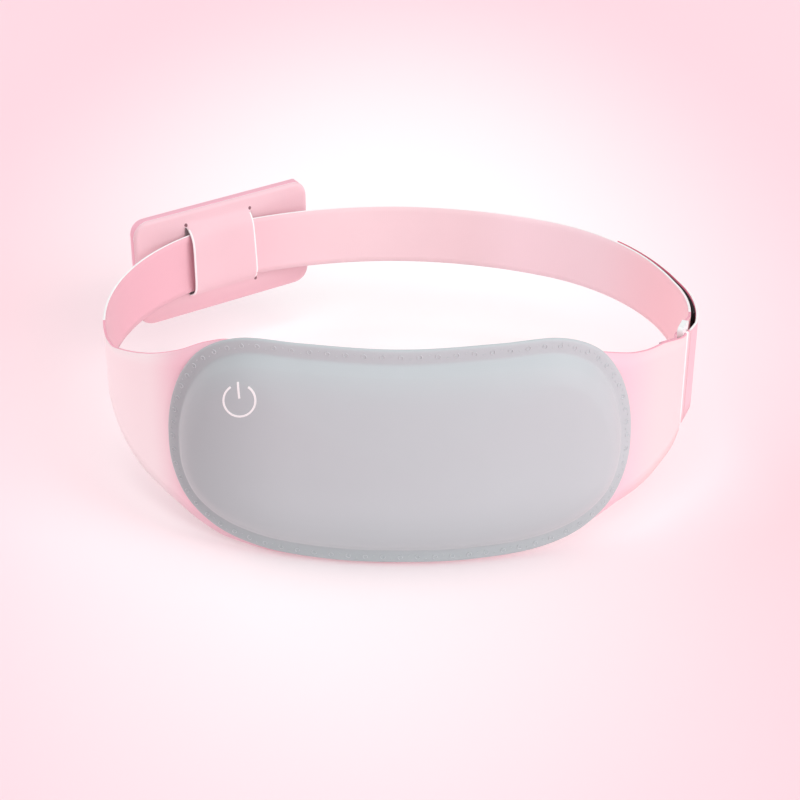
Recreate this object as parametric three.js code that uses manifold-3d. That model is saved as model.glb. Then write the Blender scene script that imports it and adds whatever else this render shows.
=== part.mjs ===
// Heated massage belt: a padded panel on a flat fabric band that closes round the waist, with an adjuster ring on
// the right and a battery pouch threaded on the band at the rear left. Millimetres, +Z up, the pad faces -Y.
import * as THREE from 'three';
import { mergeVertices } from 'three/addons/utils/BufferGeometryUtils.js';
import { RoundedBoxGeometry } from 'three/addons/geometries/RoundedBoxGeometry.js';
import Module from 'manifold-3d';

const wasm = await Module();
wasm.setup();

// Plan of the closed loop: three tangent arcs on each side.
const HALF_WIDTH = 150;
const SIDE_RADIUS = 110.4;
const FRONT_HALF_ANGLE = THREE.MathUtils.degToRad(20);
const REAR_HALF_ANGLE = THREE.MathUtils.degToRad(22.1);
const SIDE_CENTRE = HALF_WIDTH - SIDE_RADIUS;
const FRONT_RADIUS = SIDE_RADIUS + SIDE_CENTRE / Math.sin(FRONT_HALF_ANGLE);
const REAR_RADIUS = SIDE_RADIUS + SIDE_CENTRE / Math.sin(REAR_HALF_ANGLE);
const FRONT_CENTRE = SIDE_CENTRE / Math.tan(FRONT_HALF_ANGLE);
const REAR_CENTRE = -SIDE_CENTRE / Math.tan(REAR_HALF_ANGLE);
const SIDE_HALF_ANGLE = Math.PI - REAR_HALF_ANGLE - FRONT_HALF_ANGLE;
const FRONT_LENGTH = FRONT_RADIUS * FRONT_HALF_ANGLE;
const SIDE_END = FRONT_LENGTH + SIDE_RADIUS * SIDE_HALF_ANGLE;
const HALF_LOOP = SIDE_END + REAR_RADIUS * REAR_HALF_ANGLE;
const LOOP = 2 * HALF_LOOP;

// Heights and thicknesses.
const STRAP_LEVEL = 58.5;
const BAND = 1.4;
const GAP = 0.3;
const STEP = 9;
const STRAP_HALF = 17.5;

// Pad.
const PAD_S = 5;
const PAD_Z = 2.8;
const PAD_HALF_HEIGHT = 60;
const PAD_SEGMENTS = 44;
const EDGE_ZONE = 20;

// Power key, motors, board.
const KEY_S = -69;
const KEY_Z = 31;
const MOTOR_OFFSET = 48;
const MOTOR_Z = -2;
const MOTOR_DEPTH = 5.6;
const CAN_RADIUS = 3.6;
const CAN_LENGTH = 15;
const WEIGHT_RADIUS = 3.4;
const HOUSING_MIDDLE = -5.9;
const HOUSING_DEPTH = 9.6;
const HOUSING_WALL = 1.1;
const WEIGHT_LENGTH = 5;

// Adjuster ring.
const RING_FRONT = 169;
const RING_REAR = 180;
const RING_BAR = 3;
const RING_END_BAR = 3.6;
const RING_HALF = 32;
const FOLD_HALF = 28;

// Battery pouch, placed by the turn of its middle from the rear centre line.
const POUCH_TURN = THREE.MathUtils.degToRad(33.6);
const POUCH_LENGTH = 106;
const POUCH_HEIGHT = 66;
const POUCH_DEPTH = 13;
const POUCH_CORNER = 9;
// Centre of the pouch measured from the centre of its bridge.
const POUCH_X = -4;
const POUCH_Z = -3;
const SKIN = 1.3;
const SLIT_HALF = 20;
const SLIT_HEIGHT = 44;

// Centre of the loop, seen from the origin: the middle of the overall box, at resting level.
const LOOP_X = -1.748;
const LOOP_Y = -1.224;

const group = new THREE.Group();
group.name = 'heated_massage_belt';

const PINK = 0xf8d0d8;
const DEEP_PINK = 0xf2b8c6;
const GREY = 0xc4c5cb;
const WHITE = 0xf4f2f2;
const BLACK = 0x1c1c20;
const STEEL = 0xb8bbc0;
const BRASS = 0xc9a24a;
const GREEN = 0x2f6b46;

// ---- plan curve -------------------------------------------------------------------------------------------------

// Turn of the outward normal away from -Y at arc length s from the front centre (positive towards +X).
function turnAt(s) {
  const wrapped = s > HALF_LOOP ? s - LOOP : s;
  const side = Math.sign(wrapped) || 1;
  const length = Math.abs(wrapped);
  if (length <= FRONT_LENGTH) {
    return side * length / FRONT_RADIUS;
  }
  if (length <= SIDE_END) {
    return side * (FRONT_HALF_ANGLE + (length - FRONT_LENGTH) / SIDE_RADIUS);
  }
  return side * (Math.PI - REAR_HALF_ANGLE + (length - SIDE_END) / REAR_RADIUS);
}

// Point at arc length s, offset outwards by t.
function planPoint(s, t = 0) {
  const turn = turnAt(s);
  const size = Math.abs(turn);
  const out = new THREE.Vector2(Math.sin(turn), -Math.cos(turn));
  let centre = new THREE.Vector2(Math.sign(turn) * SIDE_CENTRE, 0);
  let radius = SIDE_RADIUS;
  if (size <= FRONT_HALF_ANGLE) {
    centre = new THREE.Vector2(0, FRONT_CENTRE);
    radius = FRONT_RADIUS;
  } else if (size >= Math.PI - REAR_HALF_ANGLE) {
    centre = new THREE.Vector2(0, REAR_CENTRE);
    radius = REAR_RADIUS;
  }
  return centre.addScaledVector(out, radius + t);
}

// Arc length of the curve point nearest to (x, y).
function arcLengthAt(x, y) {
  const side = Math.sign(x) || 1;
  const angle = Math.atan2(Math.abs(x) - SIDE_CENTRE, -y);
  const inSide = angle >= FRONT_HALF_ANGLE && angle <= Math.PI - REAR_HALF_ANGLE;
  if (inSide) {
    return side * (FRONT_LENGTH + (angle - FRONT_HALF_ANGLE) * SIDE_RADIUS);
  }
  if (y < 0) {
    return side * Math.atan2(Math.abs(x), FRONT_CENTRE - y) * FRONT_RADIUS;
  }
  const rear = Math.atan2(Math.abs(x), y - REAR_CENTRE);
  return side * (HALF_LOOP - rear * REAR_RADIUS);
}

function place(s, t, z) {
  const p = planPoint(s, t);
  return new THREE.Vector3(p.x, p.y, z + STRAP_LEVEL);
}

// Local frame on the loop: +X along the band, -Y outwards, +Z up.
function station(s, z, name) {
  const frame = new THREE.Group();
  frame.name = name;
  frame.position.copy(place(s, 0, z));
  frame.rotation.z = turnAt(s);
  group.add(frame);
  return frame;
}

// ---- mesh helpers -----------------------------------------------------------------------------------------------

function welded(geometry) {
  const bare = geometry.clone();
  bare.deleteAttribute('normal');
  bare.deleteAttribute('uv');
  return mergeVertices(bare, 1e-4);
}

// Reverses the triangles when they face inwards.
function facingOut(geometry) {
  const solid = welded(geometry);
  const position = solid.attributes.position;
  const index = solid.index.array;
  const corners = [new THREE.Vector3(), new THREE.Vector3(), new THREE.Vector3()];
  let volume = 0;
  for (let i = 0; i < index.length; i += 3) {
    corners.forEach((corner, k) => corner.fromBufferAttribute(position, index[i + k]));
    volume += corners[0].dot(corners[1].clone().cross(corners[2]));
  }
  if (volume < 0) {
    for (let i = 0; i < index.length; i += 3) {
      [index[i], index[i + 1]] = [index[i + 1], index[i]];
    }
  }
  return solid;
}

function toSolid(geometry) {
  const mesh = facingOut(geometry);
  return new wasm.Manifold(new wasm.Mesh({
    numProp: 3,
    vertProperties: new Float32Array(mesh.attributes.position.array),
    triVerts: new Uint32Array(mesh.index.array),
  }));
}

function toGeometry(solid) {
  const mesh = solid.getMesh();
  const geometry = new THREE.BufferGeometry();
  geometry.setAttribute('position', new THREE.BufferAttribute(mesh.vertProperties, 3));
  geometry.setIndex(new THREE.BufferAttribute(mesh.triVerts, 1));
  return geometry;
}

function cut(geometry, ...tools) {
  return toGeometry(tools.reduce((solid, tool) => solid.subtract(toSolid(tool)), toSolid(geometry)));
}

function join(geometry, ...others) {
  return toGeometry(others.reduce((solid, other) => solid.add(toSolid(other)), toSolid(geometry)));
}

function add(name, geometry, color, roughness, metalness = 0, parent = group) {
  const shaped = facingOut(geometry).toNonIndexed();
  shaped.computeVertexNormals();
  const mesh = new THREE.Mesh(shaped, new THREE.MeshStandardMaterial({ color, roughness, metalness }));
  mesh.name = name;
  parent.add(mesh);
  return mesh;
}

function box(length, depth, height, x = 0, y = 0, z = 0) {
  return new THREE.BoxGeometry(length, depth, height).translate(x, y, z);
}

// Cylinder along z.
function rod(radius, length, x = 0, y = 0, z = 0, sides = 24) {
  return new THREE.CylinderGeometry(radius, radius, length, sides).rotateX(Math.PI / 2).translate(x, y, z);
}

// Straight interpolation between [s, value] pairs.
function between(pairs, s) {
  if (s <= pairs[0][0]) {
    return pairs[0][1];
  }
  const next = pairs.findIndex((pair) => pair[0] > s);
  if (next < 0) {
    return pairs[pairs.length - 1][1];
  }
  const [s0, v0] = pairs[next - 1];
  const [s1, v1] = pairs[next];
  return v0 + (v1 - v0) * (s - s0) / (s1 - s0);
}

// Points along the band from s0 to s1 at offset t, a number or a function of s.
function run(s0, s1, t) {
  const count = Math.max(1, Math.ceil(Math.abs(s1 - s0) / STEP));
  return Array.from({ length: count + 1 }, (_, i) => {
    const s = s0 + (s1 - s0) * i / count;
    return [s, typeof t === 'function' ? t(s) : t];
  });
}

// Half turn round a square bar at s, from offset t to -t, squarer than a circle so that it clears the corners.
function halfTurn(s, t, reach, steps = 8) {
  return Array.from({ length: steps + 1 }, (_, i) => {
    const angle = Math.PI * i / steps;
    const along = Math.sqrt(Math.max(0, Math.sin(angle)));
    const across = Math.sign(Math.cos(angle)) * Math.sqrt(Math.abs(Math.cos(angle)));
    return [s + reach * along, t * across];
  });
}

// Sheet standing on its edge: an outline in (s, t), bent onto the plan curve, between two edge heights.
function sheet(outline, top, bottom) {
  const shape = new THREE.Shape(outline.map(([s, t]) => planPoint(s, t)));
  const geometry = new THREE.ExtrudeGeometry(shape, { depth: 1, steps: 1, bevelEnabled: false });
  const position = geometry.attributes.position;
  for (let i = 0; i < position.count; i += 1) {
    const s = arcLengthAt(position.getX(i), position.getY(i));
    const edge = position.getZ(i) > 0.5 ? top(s) : bottom(s);
    position.setZ(i, edge + STRAP_LEVEL);
  }
  return geometry;
}

// ---- pad shapes -------------------------------------------------------------------------------------------------

const padOutline = new THREE.CatmullRomCurve3([
  [0, 59.4], [45, 60], [76, 58.2], [95, 48], [108, 31], [115.5, 12], [118.3, -6], [117, -24],
  [109, -40], [93, -51.5], [70, -58], [35, -60], [0, -60], [-35, -60], [-70, -58], [-93, -51.5],
  [-109, -40], [-117, -24], [-118.3, -6], [-115.5, 12], [-108, 31], [-95, 48], [-76, 58.2], [-45, 60],
].map(([x, z]) => new THREE.Vector3(x, z, 0)), true, 'centripetal');

// Closed pad layer: each profile point is [distance in from the pad's outline, offset t].
function padLayer(profile) {
  const turned = profile.map(([inset, t]) => new THREE.Vector2(PAD_HALF_HEIGHT - inset, t));
  const geometry = new THREE.LatheGeometry(turned, PAD_SEGMENTS);
  const { position, uv } = geometry.attributes;
  for (let i = 0; i < position.count; i += 1) {
    const [inset, t] = profile[Math.round(uv.getY(i) * (profile.length - 1))];
    const u = uv.getX(i) % 1;
    const edge = padOutline.getPointAt(u);
    const tangent = padOutline.getTangentAt(u);
    const zone = Math.min(inset, EDGE_ZONE);
    const inner = new THREE.Vector2(edge.x + tangent.y * zone, edge.y - tangent.x * zone);
    inner.multiplyScalar(1 - (inset - zone) / (PAD_HALF_HEIGHT - EDGE_ZONE));
    const p = place(inner.x + PAD_S, t, inner.y + PAD_Z);
    position.setXYZ(i, p.x, p.y, p.z);
  }
  return geometry;
}

const CENTRE = PAD_HALF_HEIGHT;
const COVER_BASE = BAND / 2 + GAP;

// Offset of the cover's outside at a distance in from the outline.
const coverOutside = [
  [6.6, COVER_BASE + 1.5], [8, 4.9], [10.5, 7.8], [14.5, 10.2], [20, 11.6], [29, 12.7], [40, 13.4], [50, 13.8],
];
const COVER_WALL = 1.4;

add('front_cover', padLayer([
  [CENTRE, 14],
  ...[...coverOutside].reverse(),
  [5.8, COVER_BASE + 1.6],
  [0.7, COVER_BASE + 1.6],
  [0, COVER_BASE + 1],
  [0, COVER_BASE],
  [8, COVER_BASE],
  [9.4, 4.4],
  [11.8, 6.9],
  [15.4, 8.9],
  ...coverOutside.slice(4).map(([inset, t]) => [inset, t - COVER_WALL]),
  [CENTRE, 14 - COVER_WALL],
]), GREY, 0.75);

// Line of stitching round the cover's flange.
add('border_stitch', padLayer([
  [2.6, COVER_BASE + 1.6 + GAP],
  [3.6, COVER_BASE + 1.6 + GAP],
  [3.6, COVER_BASE + 2.4],
  [2.6, COVER_BASE + 2.4],
  [2.6, COVER_BASE + 1.6 + GAP],
]), 0xb2b3ba, 0.8);

// Plush lining on the skin side, with a shallow recess for the heating film.
add('skin_liner', padLayer([
  [CENTRE, -3.6],
  [40, -3.5],
  [29, -3.4],
  [20, -3.2],
  [9, -2.9],
  [5, -1.8],
  [5, -COVER_BASE],
  [10, -COVER_BASE],
  [11, -2],
  [20, -2.1],
  [29, -2.1],
  [40, -2.1],
  [CENTRE, -2.1],
]), 0xf6dfe4, 0.95);

add('heating_film', padLayer([
  [CENTRE, -1.5],
  [40, -1.5],
  [29, -1.5],
  [20, -1.5],
  [14, -1.5],
  [14, -COVER_BASE],
  [20, -COVER_BASE],
  [29, -COVER_BASE],
  [40, -COVER_BASE],
  [CENTRE, -COVER_BASE],
]), 0x3a2c26, 0.6);

// ---- band: back panel, wings and strap in one piece, folded round both bars of the ring ---------------------------

const bandTop = [
  [-200, STRAP_HALF], [-180, 17.9], [-165, 20.5], [-152, 25.5], [-137, 31], [-124, 36], [-113, 41],
  [-103, 46], [-91, 53.4], [-80, 58], [-60, 60.6], [0, 61], [70, 60.4], [86, 55.6], [101, 48.5], [110, 45],
  [123, 40], [135, 36.8], [148, 34.6], [160, 31], [167, FOLD_HALF], [174.4, FOLD_HALF], [174.6, 26.4], [188, 25.4],
  [214, 22], [246, 18], [262, STRAP_HALF],
];
const bandBottom = [
  [-200, -STRAP_HALF], [-180, -20.5], [-160, -28.6], [-141, -35.5], [-127, -39.5], [-112, -44], [-100, -49.2],
  [-85, -54.6], [-60, -57.8], [0, -58.5], [60, -57.8], [82, -55], [98, -50], [108, -46], [118, -43.4],
  [134, -42], [148, -39], [158, -33.5], [167, -FOLD_HALF],
  [174.4, -FOLD_HALF], [174.6, -26.4], [188, -25.4],
  [214, -22], [246, -18], [262, -STRAP_HALF],
];
const FOLD_INSIDE = RING_BAR / 2 + GAP;
const FOLD_OUTSIDE = FOLD_INSIDE + BAND - 0.2;
const FRONT_FOLD = RING_FRONT + RING_BAR / 2;
const REAR_FOLD = RING_REAR - RING_BAR / 2;
const FOLD_REACH = RING_BAR / 2 + 0.45;
const FOLD_SKIN = BAND - 0.2;
const WING_HEM = 147;

function wingRamp(s) {
  return THREE.MathUtils.smoothstep(s, 148, FRONT_FOLD);
}

const bandOutline = [
  // Outer face, from the strap's fold round the ring to the wing's fold round the ring.
  ...run(204, LOOP + 146, BAND / 2),
  ...run(LOOP + 150, LOOP + FRONT_FOLD, (s) => BAND / 2 + (FOLD_OUTSIDE - BAND / 2) * wingRamp(s - LOOP)),
  ...halfTurn(LOOP + FRONT_FOLD, FOLD_OUTSIDE, FOLD_REACH + FOLD_SKIN).slice(1),
  ...run(LOOP + FRONT_FOLD - 4, LOOP + WING_HEM, -FOLD_OUTSIDE),
  ...run(LOOP + WING_HEM, LOOP + FRONT_FOLD, -FOLD_INSIDE),
  ...halfTurn(LOOP + FRONT_FOLD, -FOLD_INSIDE, FOLD_REACH).slice(1),
  ...run(LOOP + FRONT_FOLD - 3, LOOP + 150, (s) => -BAND / 2 + (FOLD_INSIDE + BAND / 2) * wingRamp(s - LOOP)),
  ...run(LOOP + 146, 204, -BAND / 2),
  // Strap's own fold round the rear bar.
  [194, -BAND / 2 - 0.8],
  [186, -FOLD_OUTSIDE],
  ...halfTurn(REAR_FOLD, -FOLD_OUTSIDE, -FOLD_REACH - FOLD_SKIN),
  [REAR_FOLD + 2, FOLD_OUTSIDE],
  [REAR_FOLD + 2, FOLD_INSIDE],
  ...halfTurn(REAR_FOLD, FOLD_INSIDE, -FOLD_REACH),
  [186, -FOLD_INSIDE],
  [194, -0.4],
];

add('belt_band', sheet(bandOutline, (s) => between(bandTop, s), (s) => between(bandBottom, s)), PINK, 0.7);

// Adjuster ring between the two folds: a rounded frame, drawn in (s, z) and bent onto the loop.
function roundedOutline(x0, x1, half, corner) {
  const shape = new THREE.Shape();
  shape.moveTo(x0 + corner, -half);
  shape.lineTo(x1 - corner, -half);
  shape.absarc(x1 - corner, corner - half, corner, -Math.PI / 2, 0);
  shape.lineTo(x1, half - corner);
  shape.absarc(x1 - corner, half - corner, corner, 0, Math.PI / 2);
  shape.lineTo(x0 + corner, half);
  shape.absarc(x0 + corner, half - corner, corner, Math.PI / 2, Math.PI);
  shape.lineTo(x0, corner - half);
  shape.absarc(x0 + corner, corner - half, corner, Math.PI, Math.PI * 1.5);
  return shape;
}

const ringOuter = roundedOutline(RING_FRONT, RING_REAR, RING_HALF, 2.4);
ringOuter.holes.push(roundedOutline(RING_FRONT + RING_BAR, RING_REAR - RING_BAR, RING_HALF - RING_END_BAR, 0.8));
const ring = new THREE.ExtrudeGeometry(ringOuter, { depth: RING_BAR, bevelEnabled: false, curveSegments: 5 });
const ringPoints = ring.attributes.position;
for (let i = 0; i < ringPoints.count; i += 1) {
  const p = place(ringPoints.getX(i), ringPoints.getZ(i) - RING_BAR / 2, ringPoints.getY(i));
  ringPoints.setXYZ(i, p.x, p.y, p.z);
}
add('adjuster_ring', ring, WHITE, 0.35);

// Free tail of the strap, folded back over the outside, and the hook tape on its inner face.
const TAIL_START = REAR_FOLD + 2 + GAP;
const TAIL_END = 300;
const TAIL_THICK = 1.2;
const HOOK_THICK = 0.8;
const tailRise = [[TAIL_START, FOLD_INSIDE + 0.1], [190, 3.4], [275, 2], [TAIL_END, 2]];
const tailInside = (s) => between(tailRise, s);
add('strap_tail', sheet([
  ...run(TAIL_START, TAIL_END, (s) => tailInside(s) + TAIL_THICK),
  ...run(TAIL_END, TAIL_START, tailInside),
], (s) => between(bandTop, s), (s) => between(bandBottom, s)), PINK, 0.7);
add('hook_tape', sheet([
  ...run(204, TAIL_END - 8, (s) => tailInside(s) - GAP),
  ...run(TAIL_END - 8, 204, (s) => tailInside(s) - GAP - HOOK_THICK),
], (s) => between(bandTop, s) - 1, (s) => between(bandBottom, s) + 1), BLACK, 0.9);

// ---- inside the pad ---------------------------------------------------------------------------------------------

// Parts in a station's frame have their offset t along -Y.
const keyFrame = station(KEY_S, KEY_Z, 'key_frame');
const boardFrame = station(KEY_S + 1, 18, 'board_frame');
const KEY_TOP = 9.7;
const KEY_RADIUS = 6;
const KEY_CLEAR = 0.8;
const SWITCH_TOP = 7;

add('control_tray', join(
  box(28, 0.8, 46, 0, -1.6, 0),
  box(0.8, 2.2, 46, 13.6, -2.3, 0),
  box(0.8, 2.2, 46, -13.6, -2.3, 0),
), WHITE, 0.5, 0, boardFrame);
add('control_board', box(25, 1, 44, 0, -2.8, 0), GREEN, 0.5, 0, boardFrame);
add('board_chip', box(7, 1, 7, -4, -4, -10), BLACK, 0.5, 0, boardFrame);
add('board_connector', box(12, 2.6, 5, 2, -4.8, -18), WHITE, 0.5, 0, boardFrame);
add('switch_body', box(6, 2.4, 6, 0, -4.7, 0), BLACK, 0.5, 0, keyFrame);
add('switch_dome', rod(1.7, SWITCH_TOP - 6.2).rotateX(Math.PI / 2).translate(0, -(SWITCH_TOP + 6.2) / 2, 0),
  STEEL, 0.3, 1, keyFrame);
const keyStem = box(3, KEY_TOP - SWITCH_TOP - KEY_CLEAR, 3, 0, -(KEY_TOP + SWITCH_TOP + KEY_CLEAR) / 2, 0);
const keyDisc = rod(KEY_RADIUS, 1.2, 0, 0, 0, 32).rotateX(Math.PI / 2).translate(0, 0.6 - KEY_TOP, 0);
add('power_key', join(keyDisc, keyStem), WHITE, 0.6, 0, keyFrame);

function motor(side, s) {
  const frame = station(s, MOTOR_Z, `motor_frame_${side}`);
  const housing = cut(
    new RoundedBoxGeometry(14, HOUSING_DEPTH, 34, 1, 1.6).translate(0, HOUSING_MIDDLE, 0),
    box(10.6, HOUSING_DEPTH, 30, 0, HOUSING_MIDDLE + HOUSING_WALL, 0),
  );
  add(`motor_housing_${side}`, housing, 0xd9d9dd, 0.5, 0, frame);
  add(`motor_can_${side}`, rod(CAN_RADIUS, CAN_LENGTH, 0, -MOTOR_DEPTH, 5), STEEL, 0.3, 1, frame);
  add(`motor_endcap_${side}`, rod(CAN_RADIUS - 0.6, 1.2, 0, -MOTOR_DEPTH, 13.4), WHITE, 0.5, 0, frame);
  const hub = rod(0.75, 8.2, 0, 0, 0, 16);
  const lobe = new THREE.Shape();
  lobe.absarc(0, 0, WEIGHT_RADIUS, Math.PI * 0.95, Math.PI * 2.05);
  lobe.absarc(0, 0, 1.4, Math.PI * 0.05, Math.PI * 0.95);
  const weight = new THREE.ExtrudeGeometry(lobe, { depth: WEIGHT_LENGTH, bevelEnabled: false, curveSegments: 8 });
  const eccentric = join(hub.translate(0, 0, -7), weight.translate(0, 0, -10.6));
  add(`eccentric_weight_${side}`, eccentric.translate(0, -MOTOR_DEPTH, 0), BRASS, 0.4, 1, frame);
}
motor('left', PAD_S - MOTOR_OFFSET);
motor('right', PAD_S + MOTOR_OFFSET);

// Foam over the works, with pockets for the motors and the key.
const WORKS_TOP = 5.4;
const foamLayer = padLayer([
  [CENTRE, 12.1],
  [50, 12],
  [40, 11.6],
  [29, 10.9],
  [20, 9.8],
  [16.5, 8.6],
  [15, 7.4],
  [14.5, WORKS_TOP],
  [20, WORKS_TOP],
  [29, WORKS_TOP],
  [40, WORKS_TOP],
  [50, WORKS_TOP],
  [CENTRE, WORKS_TOP],
]);

function pocket(s, z, length, height, depth = 40) {
  const hole = box(length, depth, height);
  hole.rotateZ(turnAt(s));
  const p = place(s, 8, z);
  return hole.translate(p.x, p.y, p.z);
}
add('foam_pad', cut(
  foamLayer,
  pocket(PAD_S - MOTOR_OFFSET, MOTOR_Z, 15, 35),
  pocket(PAD_S + MOTOR_OFFSET, MOTOR_Z, 15, 35),
  pocket(KEY_S, KEY_Z, 2 * KEY_RADIUS + 1.4, 2 * KEY_RADIUS + 1.4),
  pocket(KEY_S + 3, 0, 14, 7),
), 0xf3ead8, 0.95);

// Wires on the floor of the pad, under the foam.
function wire(name, points, color, radius = 0.6) {
  const path = new THREE.CatmullRomCurve3(points.map(([s, t, z]) => place(s, t, z)));
  const circle = new THREE.Shape();
  circle.absarc(0, 0, radius, 0, Math.PI * 2);
  add(name, new THREE.ExtrudeGeometry(circle, { steps: points.length * 4, extrudePath: path, curveSegments: 3 }),
    color, 0.6);
}
wire('motor_lead_left', [[-65, 2.6, -8], [-60, 2.3, -16], [-50, 2.3, -24], [-43, 2.3, -20.5]], 0xc23b3b);
wire('motor_lead_right', [[-68, 2.4, -8], [-62, 2.2, -28], [-20, 2.2, -32], [20, 2.2, -32], [48, 2.3, -26], [53, 2.3, -20.5]], 0x2c57b8);
wire('supply_lead', [[-73, 2.4, -8], [-76, 2.2, -20], [-84, 2.2, -26], [-92, 2.2, -20]], BLACK, 0.8);
add('thermal_cutout', new RoundedBoxGeometry(8, 2, 12, 1, 0.6).translate(0, -2.4, 0), 0xe8e4dc, 0.5, 0,
  station(8, 14, 'cutout_frame'));
wire('cutout_lead', [[-48, 2.2, 30], [-30, 2.2, 34], [-8, 2.2, 26], [3, 2.4, 16]], 0xe8e4dc);

// Power mark printed proud of the cover: an open ring and a bar.
const MARK_RADIUS = 8.2;
const MARK_WIDTH = 1.1;
const MARK_GAP = 0.5;
const MARK_OFFSET = 13.35;
const MARK_THICK = 0.4;
function mark(name, shape) {
  const geometry = new THREE.ExtrudeGeometry(shape, { depth: MARK_THICK, bevelEnabled: false, curveSegments: 22 });
  add(name, geometry.rotateX(Math.PI / 2).translate(0, -MARK_OFFSET, 0), 0xffffff, 0.5, 0, keyFrame);
}
const arc = new THREE.Shape();
const arcStart = Math.PI / 2 + MARK_GAP;
arc.absarc(0, 0, MARK_RADIUS + MARK_WIDTH / 2, arcStart, arcStart + Math.PI * 2 - 2 * MARK_GAP, false);
arc.absarc(0, 0, MARK_RADIUS - MARK_WIDTH / 2, arcStart + Math.PI * 2 - 2 * MARK_GAP, arcStart, true);
mark('power_mark_ring', arc);
const bar = new THREE.Shape([[-0.5, 1], [0.5, 1], [0.5, 10.5], [-0.5, 10.5]].map(([x, z]) => new THREE.Vector2(x, z)));
mark('power_mark_bar', bar);

// ---- battery pouch ----------------------------------------------------------------------------------------------

const pouch = station(-(HALF_LOOP - REAR_HALF_ANGLE * REAR_RADIUS - (POUCH_TURN - REAR_HALF_ANGLE) * SIDE_RADIUS), 0,
  'pouch_frame');
const PANEL_INNER = BAND / 2 + GAP + 0.2;

function roundedPlate(length, height, depth, corner, bevel = 0) {
  const shape = new THREE.Shape();
  const x = length / 2 - bevel;
  const z = height / 2 - bevel;
  const r = corner - bevel;
  shape.moveTo(-x + r, -z);
  shape.lineTo(x - r, -z);
  shape.absarc(x - r, -z + r, r, -Math.PI / 2, 0);
  shape.lineTo(x, z - r);
  shape.absarc(x - r, z - r, r, 0, Math.PI / 2);
  shape.lineTo(-x + r, z);
  shape.absarc(-x + r, z - r, r, Math.PI / 2, Math.PI);
  shape.lineTo(-x, -z + r);
  shape.absarc(-x + r, -z + r, r, Math.PI, Math.PI * 1.5);
  const options = {
    depth: depth - 2 * bevel,
    bevelEnabled: bevel > 0,
    bevelSize: bevel,
    bevelThickness: bevel,
    bevelSegments: 3,
    curveSegments: 6,
  };
  return new THREE.ExtrudeGeometry(shape, options).translate(0, 0, bevel).rotateX(Math.PI / 2);
}

// Inner panel with a slotted bridge; the strap passes in front of the panel and behind the bridge.
const bridgeProfile = new THREE.Shape([
  [0, 23.5], [2.8, 23.5], [5.8, 20.2], [5.8, -20.2], [2.8, -23.5], [0, -23.5], [0, -22.2],
  [2.2, -22.2], [4.6, -19.6], [4.6, 19.6], [2.2, 22.2], [0, 22.2],
].map(([y, z]) => new THREE.Vector2(y, z)));
const bridge = new THREE.ExtrudeGeometry(bridgeProfile, { depth: 2 * SLIT_HALF, bevelEnabled: false });
bridge.translate(0, 0, -SLIT_HALF).applyMatrix4(new THREE.Matrix4().set(
  0, 0, 1, 0,
  1, 0, 0, -PANEL_INNER - 0.6,
  0, 1, 0, 0,
  0, 0, 0, 1,
));
const panelPlate = roundedPlate(POUCH_LENGTH, POUCH_HEIGHT, SKIN, POUCH_CORNER)
  .translate(POUCH_X, -PANEL_INNER, POUCH_Z);
add('pouch_panel', join(
  cut(panelPlate, box(2 * SLIT_HALF + 2, 10, SLIT_HEIGHT, 0, -PANEL_INNER, 0)),
  bridge,
), PINK, 0.7, 0, pouch);

// Outer shell of the pouch, open at the end nearer the rear centre.
const store = new THREE.Group();
store.name = 'store_frame';
store.position.set(POUCH_X, 0, POUCH_Z);
pouch.add(store);
const SHELL_INNER = PANEL_INNER + SKIN + GAP;
const SHELL_DEPTH = POUCH_DEPTH - SKIN - GAP;
const ROOM_DEPTH = SHELL_DEPTH - SKIN;
const ROOM_OVER = 4;
const SHELL_ROUND = 4;
const ROOM_ROUND = SHELL_ROUND - 1;
const ROOM_HEIGHT = POUCH_HEIGHT - 2 * SKIN;
const MOUTH_LENGTH = 18;
const shellOuter = roundedPlate(POUCH_LENGTH, POUCH_HEIGHT, SHELL_DEPTH, POUCH_CORNER, SHELL_ROUND)
  .translate(0, -SHELL_INNER, 0);
const shellRoom = roundedPlate(POUCH_LENGTH - 2 * SKIN, ROOM_HEIGHT, ROOM_DEPTH + ROOM_OVER,
  POUCH_CORNER - SKIN, ROOM_ROUND)
  .translate(0, ROOM_OVER - SHELL_INNER, 0);
const shellMouth = box(MOUTH_LENGTH, ROOM_DEPTH + ROOM_OVER, ROOM_HEIGHT - 1, -POUCH_LENGTH / 2,
  (ROOM_OVER - ROOM_DEPTH) / 2 - SHELL_INNER, 0);
add('pouch_shell', cut(shellOuter, shellRoom, shellMouth), PINK, 0.7, 0, store);

// Battery pack inside the pouch: two case halves, two cells, a board and its socket.
const PACK_LENGTH = 92;
const PACK_HEIGHT = 54;
const PACK_DEPTH = 8.6;
const PACK_X = -3;
const PACK_INNER = SHELL_INNER + 0.4;
const PACK_MIDDLE = -PACK_INNER - PACK_DEPTH / 2;
const CASE_WALL = 1.2;
const HALF_DEPTH = PACK_DEPTH / 2 - GAP / 2;
const PORT_X = PACK_X + PACK_LENGTH / 2;
const PORT_Z = 12;
const CELL_Z = 12.6;

function caseHalf(name, face, hollowShift) {
  const outer = roundedPlate(PACK_LENGTH, PACK_HEIGHT, HALF_DEPTH, 6).translate(PACK_X, face, 0);
  const hollow = roundedPlate(PACK_LENGTH - 2 * CASE_WALL, PACK_HEIGHT - 2 * CASE_WALL, HALF_DEPTH, 5)
    .translate(PACK_X, face + hollowShift, 0);
  const port = box(6, 2 * HALF_DEPTH, 10.6, PORT_X, PACK_MIDDLE, PORT_Z);
  add(name, cut(outer, hollow, port), WHITE, 0.4, 0, store);
}
caseHalf('battery_case_inner', -PACK_INNER, -CASE_WALL);
caseHalf('battery_case_outer', HALF_DEPTH - PACK_INNER - PACK_DEPTH, CASE_WALL);

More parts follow.
